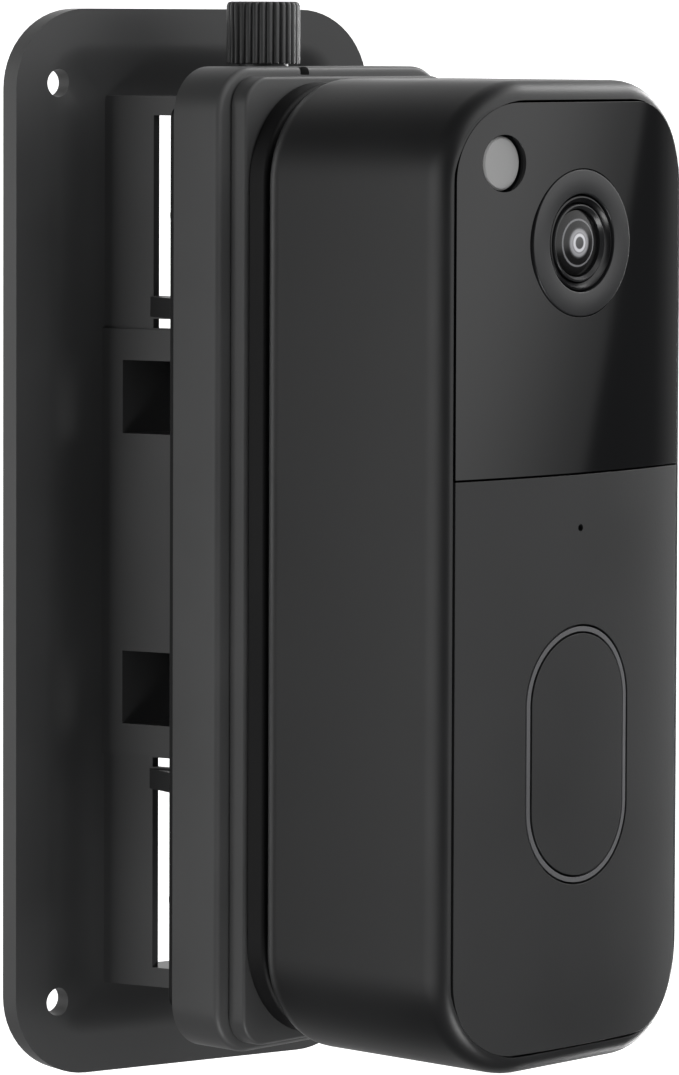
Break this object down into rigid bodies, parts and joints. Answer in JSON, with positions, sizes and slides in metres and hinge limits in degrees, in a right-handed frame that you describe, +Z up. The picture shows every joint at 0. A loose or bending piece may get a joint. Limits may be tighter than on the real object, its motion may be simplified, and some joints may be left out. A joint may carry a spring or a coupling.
{
  "type": "video doorbell",
  "caption": "Upright battery video doorbell with a camera lens and an oval push button, on a wall plate whose hinged mount turns it left or right.",
  "frame": {"origin": "centre of the wall plate's back face, on the wall", "axes": "+Z up, +Y into the wall, so the plate faces -Y and the doorbell, at rest, faces -Y turned 14.5 degrees towards +X"},
  "size_m": [0.0703, 0.0877, 0.1611],
  "materials": {
    "cast_black": "satin black powder coat",
    "tray_black": "satin black",
    "satin_black": "fine satin",
    "gloss_black": "polished, opaque",
    "inner_black": "matt",
    "lens_black": "satin",
    "lens_glass": "coated lens",
    "sensor_white": "milky",
    "light_ring": "translucent, unlit",
    "steel": "plain",
    "brass": "plain",
    "rubber": "matt",
    "circuit_green": "solder mask",
    "cell_blue": "heat-shrunk sleeve over a steel can"
  },
  "bodies": {
    "base": {"wall_base": "cast_black", "friction_washer_upper": "steel", "friction_washer_lower": "steel"},
    "head": {"swivel_yoke": "inner_black", "hinge_nut": "steel", "swivel_tray": "tray_black", "yoke_screw_upper_left": "steel", "yoke_screw_upper_right": "steel", "yoke_screw_lower_left": "steel", "yoke_screw_lower_right": "steel", "adapter_plate": "tray_black", "adapter_screw_upper_left": "steel", "adapter_screw_upper_right": "steel", "adapter_screw_lower_left": "steel", "adapter_screw_lower_right": "steel", "bell_bracket": "inner_black", "bracket_screw_upper": "steel", "bracket_screw_lower": "steel", "latch_spring": "steel"},
    "knob": {"thumb_knob": "cast_black", "hinge_bolt": "steel"},
    "latch": {"release_latch": "steel"},
    "doorbell": {"rear_shell": "satin_black", "rear_cover": "inner_black", "case_screw_upper_left": "steel", "case_screw_upper_right": "steel", "case_screw_lower_left": "steel", "case_screw_lower_right": "steel", "wire_terminal_left": "brass", "wire_terminal_right": "brass", "charge_port": "steel", "charge_port_plug": "rubber", "battery_holder": "inner_black", "battery_cell_left": "cell_blue", "battery_cell_right": "cell_blue", "mid_frame": "inner_black", "main_board": "circuit_green", "radio_module": "steel", "microphone": "steel", "speaker": "inner_black", "tact_switch": "inner_black", "front_gasket": "rubber", "front_cover": "satin_black", "glass_carrier": "inner_black", "glass_panel": "gloss_black", "button_light_ring": "light_ring", "lens_bezel": "lens_black", "lens_shade": "lens_black", "lens_retainer": "lens_black", "lens_front_glass": "lens_glass", "lens_barrel": "inner_black", "camera_sensor_board": "circuit_green", "motion_sensor_window": "sensor_white", "motion_sensor": "steel", "infrared_led_left": "lens_glass", "infrared_led_right": "lens_glass"},
    "button": {"button_cap": "satin_black"},
    "plunger": {"switch_plunger": "sensor_white"}
  },
  "joints": [
    {"name": "head_swivel", "type": "hinge", "parent": "base", "child": "head", "pos_m": [0, -0.0236, 0], "axis": [0, 0, 1], "range_deg": [-59.5, 30.5]},
    {"name": "knob_turn", "type": "hinge", "parent": "head", "child": "knob", "pos_m": [0, -0.0236, 0], "axis": [0, 0, 1], "range_deg": [0, 360]},
    {"name": "latch_press", "type": "slide", "parent": "head", "child": "latch", "axis": [0, 0, -1], "range_m": [0, 0.0018], "stiffness_N_per_m": 600, "deforming": ["latch_spring"]},
    {"name": "doorbell_pull", "type": "slide", "parent": "head", "child": "doorbell", "axis": [0.2504, -0.9681, 0], "range_m": [0, 0.015]},
    {"name": "button_press", "type": "slide", "parent": "doorbell", "child": "button", "axis": [-0.2504, 0.9681, 0], "range_m": [0, 0.0006], "stiffness_N_per_m": 2500},
    {"name": "plunger_press", "type": "slide", "parent": "doorbell", "child": "plunger", "axis": [-0.2504, 0.9681, 0], "range_m": [0, 0.0006]}
  ],
  "couplings": [
    {"joint": "plunger_press", "follows": "button_press", "ratio": 1}
  ]
}
